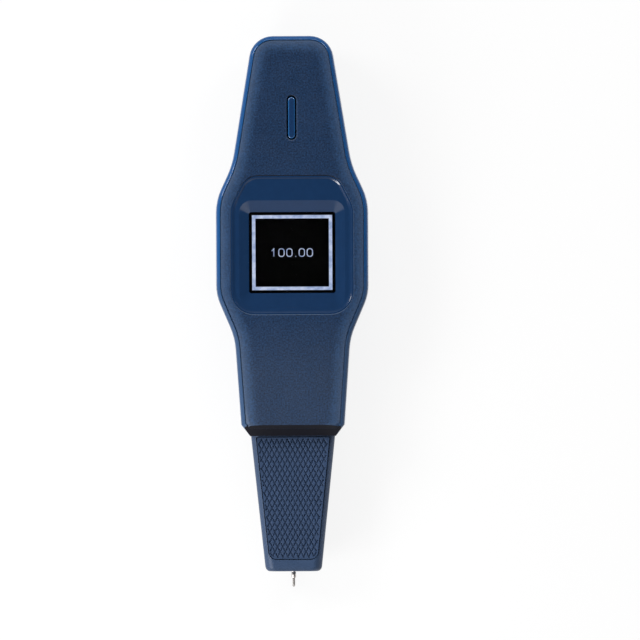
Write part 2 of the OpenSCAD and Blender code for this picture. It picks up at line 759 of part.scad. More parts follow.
// Cable from the end plug up to the connector under the board
module probe_lead() color("#8c1d1d") at_nose() {
    y0 = plug_lo + 1;
    y1 = conn_lo + 1.8;
    rise = board_z - conn_h / 2 - nose_z;
    tube([for (i = [0:20])
        let (y = y0 + (y1 - y0) * i / 20, t = min(1, max(0, (y - tail_end + 1) / (conn_lo - tail_end))))
        [[0, y, nose_z + rise * t * t * (3 - 2 * t)], [1, 0, 0], [0, 0, -1]]], lead_r - 0.02);
}

front_shell();
face_panel();
display_bezel();
display_window();
display_module();
display_pad();
display_ribbon();
main_board();
board_chips();
probe_connector();
usb_socket();
buzzer();
tact_switch();
switch_plunger();
power_button();
rear_shell();
battery_cover();
battery_1();
battery_2();
battery_springs();
battery_plates();
case_screws();
nose_housing();
front_grip();
rear_grip();
probe_bush();
probe_sleeve();
probe_tip();
probe_carrier();
probe_spring();
probe_end_plug();
probe_lead();
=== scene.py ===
import math

import bmesh
import bpy
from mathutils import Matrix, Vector
from mathutils.geometry import tessellate_polygon


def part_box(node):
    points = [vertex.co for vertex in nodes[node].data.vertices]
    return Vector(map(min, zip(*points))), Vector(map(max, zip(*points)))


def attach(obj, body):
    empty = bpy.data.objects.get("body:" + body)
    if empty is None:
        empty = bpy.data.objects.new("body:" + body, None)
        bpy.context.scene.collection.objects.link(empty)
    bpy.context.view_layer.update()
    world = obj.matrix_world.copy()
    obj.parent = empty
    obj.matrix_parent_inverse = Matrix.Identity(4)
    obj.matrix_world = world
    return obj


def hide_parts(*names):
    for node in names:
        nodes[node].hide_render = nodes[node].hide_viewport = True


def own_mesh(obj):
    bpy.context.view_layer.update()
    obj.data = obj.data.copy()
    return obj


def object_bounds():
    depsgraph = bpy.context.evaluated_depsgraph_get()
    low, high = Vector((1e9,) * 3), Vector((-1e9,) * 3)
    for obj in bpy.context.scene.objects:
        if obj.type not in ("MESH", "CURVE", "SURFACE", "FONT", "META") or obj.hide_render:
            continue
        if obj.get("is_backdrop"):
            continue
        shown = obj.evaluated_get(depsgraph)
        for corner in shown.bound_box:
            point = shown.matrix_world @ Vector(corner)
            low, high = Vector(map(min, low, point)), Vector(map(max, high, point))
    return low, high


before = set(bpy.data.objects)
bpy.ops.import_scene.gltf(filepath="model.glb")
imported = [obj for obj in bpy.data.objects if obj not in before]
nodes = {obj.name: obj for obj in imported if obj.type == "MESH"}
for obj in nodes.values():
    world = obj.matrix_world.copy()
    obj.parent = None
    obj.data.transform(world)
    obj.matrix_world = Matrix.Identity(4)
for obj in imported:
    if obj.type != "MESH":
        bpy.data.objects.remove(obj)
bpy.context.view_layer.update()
MM = 0.001


# Shader helpers

class Graph:
    """A node tree with short calls for its nodes."""

    def __init__(self, tree, place):
        self.tree = tree
        self.coords = self.add("ShaderNodeTexCoord")
        self.place = self.coords.outputs[place]

    def add(self, kind, **settings):
        node = self.tree.nodes.new(kind)
        for key, value in settings.items():
            setattr(node, key, value)
        return node

    def put(self, socket, value):
        """Links another socket or sets a plain value."""
        if isinstance(value, bpy.types.NodeSocket):
            self.tree.links.new(value, socket)
        else:
            socket.default_value = value

    def noise(self, size, detail=3.0, rough=0.5, place=None):
        """Noise with features of about size, in metres."""
        node = self.add("ShaderNodeTexNoise")
        self.put(node.inputs["Vector"], place or self.place)
        for key, value in (("Scale", 1.0 / size), ("Detail", detail), ("Roughness", rough)):
            node.inputs[key].default_value = value
        return node.outputs["Fac"]

    def cells(self, size):
        """Distance from the middle of the nearest cell."""
        node = self.add("ShaderNodeTexVoronoi", feature="F1")
        self.put(node.inputs["Vector"], self.place)
        node.inputs["Scale"].default_value = 1.0 / size
        return node.outputs["Distance"]

    def stretch(self, scale):
        """The place, scaled along each axis."""
        node = self.add("ShaderNodeMapping")
        self.put(node.inputs["Vector"], self.place)
        node.inputs["Scale"].default_value = scale
        return node.outputs["Vector"]

    def math(self, operation, *values):
        node = self.add("ShaderNodeMath", operation=operation)
        for socket, value in zip(node.inputs, values):
            self.put(socket, value)
        return node.outputs[0]

    def product(self, result, *others):
        for value in others:
            result = self.math("MULTIPLY", result, value)
        return result

    def span(self, value, start, end, low=0.0, high=1.0, smooth=False):
        """Goes from low to high as the value goes from start to end."""
        node = self.add("ShaderNodeMapRange", interpolation_type="SMOOTHSTEP" if smooth else "LINEAR")
        for socket, setting in zip(node.inputs, (value, start, end, low, high)):
            self.put(socket, setting)
        return node.outputs["Result"]

    def mix(self, factor, first, second, blend="MIX"):
        node = self.add("ShaderNodeMix", data_type="RGBA", blend_type=blend)
        self.put(node.inputs["Factor"], factor)
        colours = [socket for socket in node.inputs if socket.type == "RGBA"]
        for socket, value in zip(colours, (first, second)):
            self.put(socket, (*value, 1.0) if isinstance(value, tuple) else value)
        return [socket for socket in node.outputs if socket.type == "RGBA"][0]

    def axis(self, which, source=None):
        """One coordinate of the place or of another vector."""
        node = self.add("ShaderNodeSeparateXYZ")
        self.put(node.inputs[0], source or self.place)
        return node.outputs[which]

    def tilt(self, which):
        """One coordinate of the surface normal."""
        return self.axis(which, self.coords.outputs["Normal"])

    def bump(self, height, depth, strength):
        node = self.add("ShaderNodeBump")
        node.inputs["Strength"].default_value = strength
        node.inputs["Distance"].default_value = depth
        self.put(node.inputs["Height"], height)
        return node.outputs["Normal"]


class Shader(Graph):
    """A material with one Principled shader."""

    def __init__(self, name):
        self.mat = bpy.data.materials.new(name)
        self.mat.use_nodes = True
        super().__init__(self.mat.node_tree, "Object")
        self.bsdf = self.tree.nodes["Principled BSDF"]

    def set(self, **values):
        """Sets or links inputs of the shader, with _ for a space in their names."""
        for key, value in values.items():
            self.put(self.bsdf.inputs[key.replace("_", " ")], value)

    def linked(self, name):
        """What an input is linked to now."""
        return self.bsdf.inputs[name].links[0].from_socket

    def tint(self, factor, colour, blend="MIX"):
        """Lays a colour over the base colour."""
        self.set(Base_Color=self.mix(factor, self.linked("Base Color"), colour, blend))

    def roughen(self, factor, rough):
        """Raises the roughness to this one where the factor is 1."""
        self.set(Roughness=self.math("MAXIMUM", self.linked("Roughness"), self.product(factor, rough)))


def shade(colour, share):
    return tuple(min(1.0, part * share) for part in colour)


# Parts of the range of a noise: most of its values lie in the wide one
WIDE, NARROW = (0.3, 0.7), (0.35, 0.65)
# Sizes of the slow patterns in colour, in gloss and in the streaks of a metal
BLOTCH, SMEAR, STREAK = 14 * MM, 3 * MM, 2 * MM
# Shares: of the spread in the blotches, of the grain in the size of a pit, of the roughness in its change
BLOTCH_SHARE, PIT_SHARE = 0.4, 1.6
UNEVEN_PLASTIC, UNEVEN_METAL = 0.12, 0.25
TARNISHED, CLEAN, STREAK_BUMP = 0.8, 1.1, 0.5
COAT_ROUGH = 0.06


def moulded(name, colour, rough, grain=0.35, size=0.35 * MM, depth=0.02 * MM,
            coat=0.0, spread=0.25, gloss=0.5, speck=0.5, pits=False):
    """Moulded plastic: a fine grain in bump and colour, slow blotches in colour, uneven roughness."""
    plastic = Shader(name)
    fine = plastic.noise(size, 2.0, 0.6)
    slow = plastic.noise(BLOTCH)
    faint = spread * BLOTCH_SHARE
    base = plastic.mix(plastic.span(slow, *NARROW), shade(colour, 1 - faint), shade(colour, 1 + faint))
    dots = plastic.mix(plastic.span(fine, *WIDE), shade(colour, 1 - spread), shade(colour, 1 + spread))
    smear = plastic.noise(SMEAR, 4.0, 0.6)
    smooth, matt = rough * (1 - UNEVEN_PLASTIC), min(1.0, rough * (1 + UNEVEN_PLASTIC))
    height = plastic.math("ADD", fine, plastic.cells(size * PIT_SHARE)) if pits else fine
    plastic.set(Base_Color=plastic.mix(speck, base, dots))
    plastic.set(Roughness=plastic.span(smear, *WIDE, smooth, matt))
    plastic.set(Normal=plastic.bump(height, depth, grain))
    plastic.set(Coat_Weight=coat, Coat_Roughness=COAT_ROUGH, Specular_IOR_Level=gloss)
    return plastic


def metal(name, colour, rough, stretch=(1, 30, 30), depth=0.004 * MM):
    """Drawn or plated metal, with streaks along the axis that is stretched least."""
    alloy = Shader(name)
    streak = alloy.noise(STREAK, 4.0, 0.6, alloy.stretch(stretch))
    tarnish = alloy.span(alloy.noise(SMEAR), *WIDE)
    bright, dull = rough * (1 - UNEVEN_METAL), rough * (1 + UNEVEN_METAL)
    alloy.set(Base_Color=alloy.mix(tarnish, shade(colour, TARNISHED), shade(colour, CLEAN)), Metallic=1.0)
    alloy.set(Roughness=alloy.span(streak, *WIDE, bright, dull))
    alloy.set(Normal=alloy.bump(streak, depth, STREAK_BUMP))
    return alloy


# Colours of the outside, then of the inside
BLUE_RIM = (0.0095, 0.064, 0.195)
# Painted sheen on the rim towards the nose
BLUE_RIM_SHEEN = (0.026, 0.061, 0.134)
BLUE_REAR = (0.0095, 0.056, 0.17)
BLUE_FACE = (0.0078, 0.0243, 0.064)
BLUE_BEZEL = (0.0074, 0.0272, 0.0775)
BLUE_BUTTON = (0.0075, 0.029, 0.087)
# Painted highlight on the sloping edges of the button
BLUE_BUTTON_HIGHLIGHT = (0.013, 0.1, 0.28)
BLUE_NOSE = (0.0245, 0.048, 0.1)
BLUE_GRIP = (0.0225, 0.0445, 0.096)
# Painted sheen on the face: at its crown, then at its outer edge
FACE_CROWN_SHEEN = (0.0085, 0.019, 0.04)
FACE_EDGE_SHEEN = (0.03, 0.035, 0.042)
# Painted sheen on the face towards the nose
FACE_LOW_SHEEN = (0.011, 0.011, 0.0095)
# Painted shade where shell and face slope to the nose
SKIRT_SHADE = (0.0026, 0.0026, 0.0066)
CHIP_BLACK = (0.012, 0.012, 0.013)
FOAM_BLACK = (0.01, 0.01, 0.01)
IVORY = (0.62, 0.58, 0.47)
RED = (0.28, 0.02, 0.02)
AMBER = (0.36, 0.14, 0.03)
PLATED_STEEL = (0.6, 0.61, 0.63)
SCREW_STEEL = (0.5, 0.51, 0.53)
PROBE_STEEL = (0.56, 0.53, 0.51)
BRASS = (0.66, 0.47, 0.17)
BOARD_GREEN = (0.012, 0.12, 0.045)
CELL_GOLD = (0.5, 0.3, 0.05)

# Plastics of the outside
shell = moulded("shell_gloss", BLUE_RIM, 0.13, grain=0.15, size=0.5 * MM, depth=0.006 * MM, spread=0.1,
                gloss=0.2)
face = moulded("face_texture", BLUE_FACE, 0.42, grain=0.8, size=0.5 * MM, depth=0.05 * MM, spread=0.75,
               gloss=0.25, speck=0.85, pits=True)
bezel = moulded("bezel_gloss", BLUE_BEZEL, 0.14, grain=0.05, size=2.5 * MM, depth=0.006 * MM, spread=0.08)
button = moulded("button_gloss", BLUE_BUTTON, 0.16, grain=0.08, size=1.2 * MM, depth=0.004 * MM, coat=0.5,
                 spread=0.1)
rear = moulded("rear_satin", BLUE_REAR, 0.3, grain=0.15, size=0.5 * MM, depth=0.006 * MM, spread=0.18,
               gloss=0.25, speck=0.15)
nose = moulded("nose_satin", BLUE_NOSE, 0.46, grain=0.4, size=0.4 * MM, spread=0.22, gloss=0.3)
grip = moulded("grip_soft", BLUE_GRIP, 0.55, grain=0.4, size=0.3 * MM, depth=0.015 * MM, gloss=0.25)

# Plastics and metals of the inside
black = moulded("chip_black", CHIP_BLACK, 0.5, grain=0.3)
foam = moulded("foam_black", FOAM_BLACK, 0.9, grain=0.8, size=0.6 * MM, depth=0.08 * MM, pits=True)
ivory = moulded("connector_ivory", IVORY, 0.42, grain=0.2)
lead = moulded("lead_red", RED, 0.45, grain=0.2)
film = moulded("ribbon_film", AMBER, 0.28, grain=0.1)
plated = metal("plated_steel", PLATED_STEEL, 0.3)
brass = metal("brass", BRASS, 0.28)
screws = metal("screw_steel", SCREW_STEEL, 0.3)
probe = metal("probe_metal", PROBE_STEEL, 0.32, stretch=(30, 1, 30), depth=0.0005 * MM)

# Painted sheen: the face is painted paler where its crown turns down to its outer edge, and less so round
# the button
CROWN_TILT, EDGE_TILT, SKIRT_TILT = (0.9999, 0.991), (0.992, 0.96), (-0.2, -0.05)
SLOT_NEAR, SLOT_FAR, SLOT_SHARE = 1.0 * MM, 2.5 * MM, 0.3
button_low, button_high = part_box("power_button")
sideways = face.math("ABSOLUTE", face.axis("X"))
beside = face.span(sideways, button_high.x + SLOT_NEAR, button_high.x + SLOT_FAR)
below = face.span(face.axis("Y"), button_low.y - SLOT_NEAR, button_low.y - SLOT_FAR)
above = face.span(face.axis("Y"), button_high.y + SLOT_NEAR, button_high.y + SLOT_FAR)
outside = face.math("MAXIMUM", beside, face.math("MAXIMUM", below, above))
away = face.math("MAXIMUM", outside, SLOT_SHARE)
crown_sheen = face.span(face.tilt("Z"), *CROWN_TILT, smooth=True)
edge_sheen = face.product(face.span(face.tilt("Z"), *EDGE_TILT), face.span(face.tilt("Y"), *SKIRT_TILT))
face.tint(face.product(away, crown_sheen), FACE_CROWN_SHEEN, "SCREEN")
face.tint(face.product(away, edge_sheen), FACE_EDGE_SHEEN, "SCREEN")

# Painted highlight: the sloping edges of the button are painted a lighter blue
BUTTON_TILT = (0.98, 0.9)
button.tint(button.span(button.tilt("Z"), *BUTTON_TILT), BLUE_BUTTON_HIGHLIGHT)

# Painted sheen: towards the nose, face and rim are painted paler, and the rim is matt
FACE_SHEEN_Y, RIM_SHEEN_MATT_Y = (5 * MM, -25 * MM), (18 * MM, 0.0)
RIM_FOOT, RIM_TOP, RIM_MATT_ROUGH = 5 * MM, 2 * MM, 0.42
face.tint(face.span(face.axis("Y"), *FACE_SHEEN_Y, smooth=True), FACE_LOW_SHEEN, "SCREEN")
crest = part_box("front_shell")[1].z
rim_sheen_and_matt = shell.product(shell.span(shell.axis("Y"), *RIM_SHEEN_MATT_Y, smooth=True),
                     shell.span(shell.axis("Z"), crest - RIM_FOOT, crest - RIM_TOP, smooth=True))
shell.tint(rim_sheen_and_matt, BLUE_RIM_SHEEN)
shell.roughen(rim_sheen_and_matt, RIM_MATT_ROUGH)

# Painted shade: shell and face are painted near black where they slope to the nose, and are matt there
SKIRT_NORMAL, SKIRT_FACING, SKIRT_ROUGH = (0.0, -0.826, 0.563), (0.66, 0.97), 0.75
for paint in (shell, face):
    facing = paint.add("ShaderNodeVectorMath", operation="DOT_PRODUCT")
    paint.put(facing.inputs[0], paint.coords.outputs["Normal"])
    paint.put(facing.inputs[1], SKIRT_NORMAL)
    skirt_shade = paint.span(facing.outputs["Value"], *SKIRT_FACING, smooth=True)
    paint.tint(skirt_shade, SKIRT_SHADE)
    paint.roughen(skirt_shade, SKIRT_ROUGH)

# Knurl grooves hold less light: darker with depth under the sloping face of the pad
PAD_DEPTH, GROOVE_TOP, GROOVE_FLOOR, GROOVE_SHADE = 1.1 * MM, 0.05 * MM, 0.4 * MM, 0.75
pad_low, pad_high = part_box("front_grip")
nose_z = (pad_high.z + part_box("rear_grip")[0].z) / 2
pad_slope = (pad_high.z - pad_low.z - PAD_DEPTH) / (pad_high.y - pad_low.y)
from_middle = grip.math("ABSOLUTE", grip.math("SUBTRACT", grip.axis("Z"), nose_z))
pad_face = grip.math("MULTIPLY_ADD", grip.axis("Y"), pad_slope, pad_high.z - nose_z - pad_slope * pad_high.y)
groove = grip.span(grip.math("SUBTRACT", pad_face, from_middle), GROOVE_TOP, GROOVE_FLOOR)
grip.tint(groove, shade(BLUE_GRIP, GROOVE_SHADE))

# Board: solder mask with faint traces
board = moulded("board_green", BOARD_GREEN, 0.34, grain=0.15)
trace = board.add("ShaderNodeTexBrick")
board.put(trace.inputs["Vector"], board.place)
board.put(trace.inputs["Scale"], 300.0)
board.put(trace.inputs["Mortar Size"], 0.05)
board.put(trace.inputs["Color1"], (0.008, 0.1, 0.035, 1))
board.put(trace.inputs["Color2"], (0.01, 0.11, 0.04, 1))
board.put(trace.inputs["Mortar"], (0.03, 0.24, 0.09, 1))
board.set(Base_Color=trace.outputs["Color"])

# Cell: sleeve in two colours along its length
SLEEVE_CHANGE = (8 * MM, 8.5 * MM)
cell = moulded("cell_sleeve", CELL_GOLD, 0.32, grain=0.1, coat=0.3)
sleeve_end = cell.span(cell.axis("Y"), *SLEEVE_CHANGE)
cell.set(Base_Color=cell.mix(sleeve_end, CELL_GOLD, CHIP_BLACK))

# Window: clear sheet with a hint of dust in its gloss
window = Shader("window_clear")
window.set(Base_Color=(0.93, 0.95, 0.97, 1.0), IOR=1.2, Transmission_Weight=1.0)
window.set(Roughness=window.span(window.noise(4 * MM, 4.0, 0.6), 0.35, 0.75, 0.0, 0.012))

# Display glass
SCREEN_DARK, SCREEN_PALE = (0.0012, 0.0012, 0.0013), (0.0022, 0.0022, 0.0024)
screen = Shader("display_glass")
screen.set(Base_Color=screen.mix(screen.noise(6 * MM), SCREEN_DARK, SCREEN_PALE))
screen.set(Roughness=screen.span(screen.noise(5 * MM), *WIDE, 0.3, 0.42), Specular_IOR_Level=0.03)

# Lit picture elements of the display
LIT_DIM, LIT_BRIGHT, LIT_PITCH = (0.3, 0.4, 0.66), (0.62, 0.7, 0.9), 0.42 * MM
lit = Shader("display_lit")
waves = [lit.math("SINE", lit.product(lit.axis(which), 2 * math.pi / LIT_PITCH)) for which in "XY"]
weave = lit.span(lit.math("ADD", *waves), -2.0, 2.0, 0.78, 1.0)
glow = lit.mix(lit.span(lit.noise(2.2 * MM), *NARROW), LIT_DIM, LIT_BRIGHT)
lit.set(Base_Color=(0.02, 0.02, 0.025, 1.0), Roughness=0.4, Emission_Color=glow, Emission_Strength=weave)

PAINT = {
    "front_shell": shell, "face_panel": face, "display_bezel": bezel, "display_window": window,
    "display_module": screen, "display_pad": foam, "display_ribbon": film, "main_board": board,
    "board_chips": black, "probe_connector": ivory, "usb_socket": plated, "buzzer": black,
    "tact_switch": black, "switch_plunger": ivory, "power_button": button, "rear_shell": rear,
    "battery_cover": rear, "battery_1": cell, "battery_2": cell, "battery_springs": plated,
    "battery_plates": plated, "case_screws": screws, "nose_housing": nose, "front_grip": grip,
    "rear_grip": grip, "probe_bush": brass, "probe_sleeve": probe, "probe_tip": probe,
    "probe_carrier": ivory, "probe_spring": plated, "probe_end_plug": black, "probe_lead": lead,
}
for name, paint in PAINT.items():
    materials = nodes[name].data.materials
    materials.clear()
    materials.append(paint.mat)


# Soft edges and smooth shading on the CAD nodes

def weld_group():
    """Joins the points that the import leaves split, drops its normals and shades smooth."""
    group = bpy.data.node_groups.new("weld_smooth", "GeometryNodeTree")
    for side in ("INPUT", "OUTPUT"):
        group.interface.new_socket("Geometry", in_out=side, socket_type="NodeSocketGeometry")
    kinds = ("NodeGroupInput", "GeometryNodeRemoveAttribute", "GeometryNodeMergeByDistance",
             "GeometryNodeSetShadeSmooth", "NodeGroupOutput")
    chain = [group.nodes.new(kind) for kind in kinds]
    chain[1].inputs["Name"].default_value = "custom_normal"
    chain[2].inputs["Distance"].default_value = 0.001 * MM
    for node, following in zip(chain, chain[1:]):
        group.links.new(node.outputs[0], following.inputs[0])
    return group


WELD = weld_group()
FLAT_ANGLE, EDGE_STEPS = 0.3, 2


def soften(name, width, angle=32.0):
    """Rounds the edges of a node that are sharper than an angle in degrees."""
    modifiers = nodes[name].modifiers
    modifiers.new("weld", "NODES").node_group = WELD
    planar = modifiers.new("planar", "DECIMATE")
    planar.decimate_type = "DISSOLVE"
    planar.angle_limit = math.radians(FLAT_ANGLE)
    edges = modifiers.new("edges", "BEVEL")
    edges.width = width
    edges.segments = EDGE_STEPS
    edges.limit_method = "ANGLE"
    edges.angle_limit = math.radians(angle)
    modifiers.new("normals", "WEIGHTED_NORMAL").keep_sharp = True


for name in ("front_shell", "rear_shell", "nose_housing"):
    soften(name, 0.15 * MM)
for name in ("face_panel", "power_button", "battery_cover"):
    soften(name, 0.12 * MM)
soften("display_bezel", 0.15 * MM, 13.5)
for name in ("usb_socket", "buzzer", "tact_switch", "probe_bush", "probe_sleeve",
             "probe_carrier", "battery_1", "battery_2", "board_chips", "probe_connector"):
    soften(name, 0.06 * MM)
for name in ("probe_tip", "battery_springs", "probe_lead", "probe_end_plug"):
    soften(name, 0.02 * MM, 50.0)


# New pieces

def make(name, verts, faces, material, body):
    mesh = bpy.data.meshes.new(name)
    mesh.from_pydata([tuple(v) for v in verts], [], faces)
    mesh.materials.append(material)
    mesh.update()
    o = bpy.data.objects.new(name, mesh)
    bpy.context.scene.collection.objects.link(o)
    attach(o, body)
    return o


def outward(piece, angle):
    """Turns all faces outward and shades smooth, except over edges sharper than an angle in degrees."""
    shape = bmesh.new()
    shape.from_mesh(piece.data)
    bmesh.ops.recalc_face_normals(shape, faces=shape.faces)
    shape.to_mesh(piece.data)
    shape.free()
    piece.data.shade_smooth()
    piece.data.set_sharp_from_angle(angle=math.radians(angle))


def block(name, low, high, material):
    verts = [(x, y, z) for x in (low[0], high[0]) for y in (low[1], high[1]) for z in (low[2], high[2])]
    faces = [(0, 1, 3, 2), (4, 6, 7, 5), (0, 4, 5, 1), (2, 3, 7, 6), (0, 2, 6, 4), (1, 5, 7, 3)]
    return make(name, verts, faces, material, "case")


def ribbon(path, width, z, closed):
    """Flat band of that width along a path of [x, y], with mitred corners."""
    count = len(path)
    points = [Vector(point) for point in path]
    verts = []
    for i, point in enumerate(points):
        ways = []
        if closed or i:
            ways.append((point - points[i - 1]).normalized())
        if closed or i < count - 1:
            ways.append((points[(i + 1) % count] - point).normalized())
        sides = [Vector((way.y, -way.x)) for way in ways]
        mitre = sides[0] if len(sides) == 1 else (sides[0] + sides[1]) / (1 + sides[0].dot(sides[1]))
        for reach in (-width / 2, width / 2):
            verts.append((point.x + reach * mitre.x, point.y + reach * mitre.y, z))
    faces = []
    for i in range(count if closed else count - 1):
        j = (i + 1) % count
        faces.append((2 * i, 2 * i + 1, 2 * j + 1, 2 * j))
    return verts, faces


def rounded_box(width, height, radius, steps=6):
    """Points of a box about the origin with round corners."""
    points = []
    for right, top, start in ((1, -1, -90), (1, 1, 0), (-1, 1, 90), (-1, -1, 180)):
        for k in range(steps + 1):
            angle = math.radians(start + 90 * k / steps)
            points.append((right * (width / 2 - radius) + radius * math.cos(angle),
                           top * (height / 2 - radius) + radius * math.sin(angle)))
    return points


# What the display shows: a lit frame and a plain number

LIT_W, LIT_H, LIT_BAND, LIT_RISE = 26.2 * MM, 24.5 * MM, 1.1 * MM, 0.03 * MM
DIGIT_W, DIGIT_H, DIGIT_ROUND, DIGIT_STEP = 1.75 * MM, 2.5 * MM, 0.75 * MM, 2.6 * MM
STROKE, FIRST_X = 0.27 * MM, -6.1 * MM
ONE_STEM, ONE_FLAG, ONE_DROP = 0.1 * MM, -0.55 * MM, 0.7 * MM
POINT_BACK = 0.22

low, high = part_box("display_module")
lit_y, lit_z = (low.y + high.y) / 2, high.z + LIT_RISE
half_w, half_h = (LIT_W - LIT_BAND) / 2, (LIT_H - LIT_BAND) / 2
corners = [(-half_w, lit_y - half_h), (half_w, lit_y - half_h), (half_w, lit_y + half_h),
           (-half_w, lit_y + half_h)]
verts, faces = ribbon(corners, LIT_BAND, lit_z, True)
make("lit_frame", verts, faces, lit.mat, "case")


def number(text):
    """Points and faces of a number of the glyphs 0, 1 and the decimal point."""
    verts, faces = [], []
    top, foot = lit_y + DIGIT_H / 2, lit_y - DIGIT_H / 2
    x = FIRST_X
    for glyph in text:
        if glyph == "1":
            path = [(x + ONE_FLAG, top - ONE_DROP), (x + ONE_STEM, top), (x + ONE_STEM, foot)]
        elif glyph == "0":
            path = [(x + px, lit_y + py) for px, py in rounded_box(DIGIT_W, DIGIT_H, DIGIT_ROUND)]
        else:
            x -= DIGIT_STEP * POINT_BACK
            path = [(x - STROKE / 2, foot), (x + STROKE / 2, foot)]
        points, quads = ribbon(path, STROKE, lit_z, glyph == "0")
        faces.extend(tuple(i + len(verts) for i in quad) for quad in quads)
        verts.extend(points)
        x += DIGIT_STEP * (1 - POINT_BACK) if glyph == "." else DIGIT_STEP
    return verts, faces


verts, faces = number("100.00")
make("lit_number", verts, faces, lit.mat, "case")


# Tongue and contacts in the socket

# Root and end of the tongue are measured back from the mouth, the contacts down from its middle
TONGUE_ROOT, TONGUE_END, TONGUE_HALF_W, TONGUE_HALF_H = 5.65 * MM, 0.9 * MM, 2.2 * MM, 0.22 * MM
CONTACTS, CONTACT_PITCH, CONTACT_HALF_W, CONTACT_SHORT = 5, 0.75 * MM, 0.17 * MM, 0.25 * MM
CONTACT_BOTTOM, CONTACT_TOP = 0.27 * MM, 0.2 * MM

low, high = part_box("usb_socket")
socket_z = (low.z + high.z) / 2
root, end = high.y - TONGUE_ROOT, high.y - TONGUE_END
block("usb_tongue", (-TONGUE_HALF_W, root, socket_z - TONGUE_HALF_H),
      (TONGUE_HALF_W, end, socket_z + TONGUE_HALF_H), black.mat)
for k in range(CONTACTS):
    x = (k - (CONTACTS - 1) / 2) * CONTACT_PITCH
    block("usb_contact_%d" % (k + 1), (x - CONTACT_HALF_W, root, socket_z - CONTACT_BOTTOM),
          (x + CONTACT_HALF_W, end - CONTACT_SHORT, socket_z - CONTACT_TOP), brass.mat)


# Case screws: a cross recess in each head and a threaded shank

HEAD_R, HEAD_H, HEAD_ROUND, SHANK_R, TIP_SHARE = 2.4 * MM, 1.8 * MM, 0.3 * MM, 1.15 * MM, 0.6
THREAD, PITCH, THREAD_SHARE = 0.16 * MM, 0.55 * MM, 0.4
ARM_W, ARM_L, RECESS, RECESS_SHARE = 0.36 * MM, 1.4 * MM, 0.95 * MM, 0.72
SCREW_SIDES = 40


def screw_outline(bottom, top):
    """Radius and height of each ring of a screw whose head faces down."""
    seat = bottom + HEAD_H
    flat = HEAD_R - HEAD_ROUND
    outline = [(flat, bottom)]
    for degrees in (30, 60, 90):
        angle = math.radians(degrees)
        outline.append((flat + HEAD_ROUND * math.sin(angle),
                        bottom + HEAD_ROUND - HEAD_ROUND * math.cos(angle)))
    outline += [(HEAD_R, seat), (SHANK_R, seat), (SHANK_R, seat + PITCH)]
    for k in range(int((top - seat - 2 * PITCH) / PITCH)):
        z = seat + PITCH * (k + 1)
        outline += [(SHANK_R - THREAD, z + PITCH * THREAD_SHARE), (SHANK_R, z + PITCH)]
    return outline + [(SHANK_R * TIP_SHARE, top)]


def cross_outline():
    """Points of the cross recess about its middle, arm by arm."""
    points, arm = [], [(ARM_W, ARM_W), (ARM_W, ARM_L), (-ARM_W, ARM_L)]
    for _ in range(4):
        points += arm
        arm = [(-y, x) for x, y in arm]
    return points


def screw(x, y, bottom, top, verts, faces):
    """Adds one screw whose head faces down at the bottom and whose shank ends at the top."""
    base = len(verts)
    outline = screw_outline(bottom, top)
    for radius, z in outline:
        for k in range(SCREW_SIDES):
            angle = 2 * math.pi * k / SCREW_SIDES
            verts.append((x + radius * math.cos(angle), y + radius * math.sin(angle), z))
    for i in range(len(outline) - 1):
        ring = base + i * SCREW_SIDES
        for k in range(SCREW_SIDES):
            a, b = ring + k, ring + (k + 1) % SCREW_SIDES
            faces.append((a, b, b + SCREW_SIDES, a + SCREW_SIDES))
    faces.append(tuple(range(len(verts) - SCREW_SIDES, len(verts))))

    cross = cross_outline()
    count, mouth = len(cross), len(verts)
    verts.extend((x + px, y + py, bottom) for px, py in cross)
    verts.extend((x + RECESS_SHARE * px, y + RECESS_SHARE * py, bottom + RECESS) for px, py in cross)
    for k in range(count):
        j = (k + 1) % count
        faces.append((mouth + k, mouth + j, mouth + count + j, mouth + count + k))
    faces.append(tuple(range(mouth + count, mouth + 2 * count)))

    rim = list(range(base, base + SCREW_SIDES))
    hole = list(reversed(range(mouth, mouth + count)))
    loops = [[Vector(verts[i]) for i in loop] for loop in (rim, hole)]
    both = rim + hole
    faces.extend(tuple(both[i] for i in triangle) for triangle in tessellate_polygon(loops))


spots = [vertex.co for vertex in nodes["case_screws"].data.vertices]
low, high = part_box("case_screws")
half_y = (low.y + high.y) / 2
verts, faces = [], []
for right in (True, False):
    for near_nose in (True, False):
        one = [spot for spot in spots if (spot.x > 0) == right and (spot.y < half_y) == near_nose]
        x, y = ((min(spot[i] for spot in one) + max(spot[i] for spot in one)) / 2 for i in (0, 1))
        screw(x, y, low.z, high.z, verts, faces)
cross = make("cross_screws", verts, faces, screws.mat, "case")
outward(cross, 28)
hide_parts("case_screws")


# Probe spring: a wound coil in place of the CAD spring. The real spring closes up as the probe goes in; this
# coil keeps its length.

WIRE_R, ACTIVE_TURNS, DEAD_TURNS, DEAD_PITCH, SPRING_PLAY = 0.25 * MM, 7, 1.0, 2.3, 0.02 * MM
TURN_STEPS, WIRE_SIDES = 28, 10


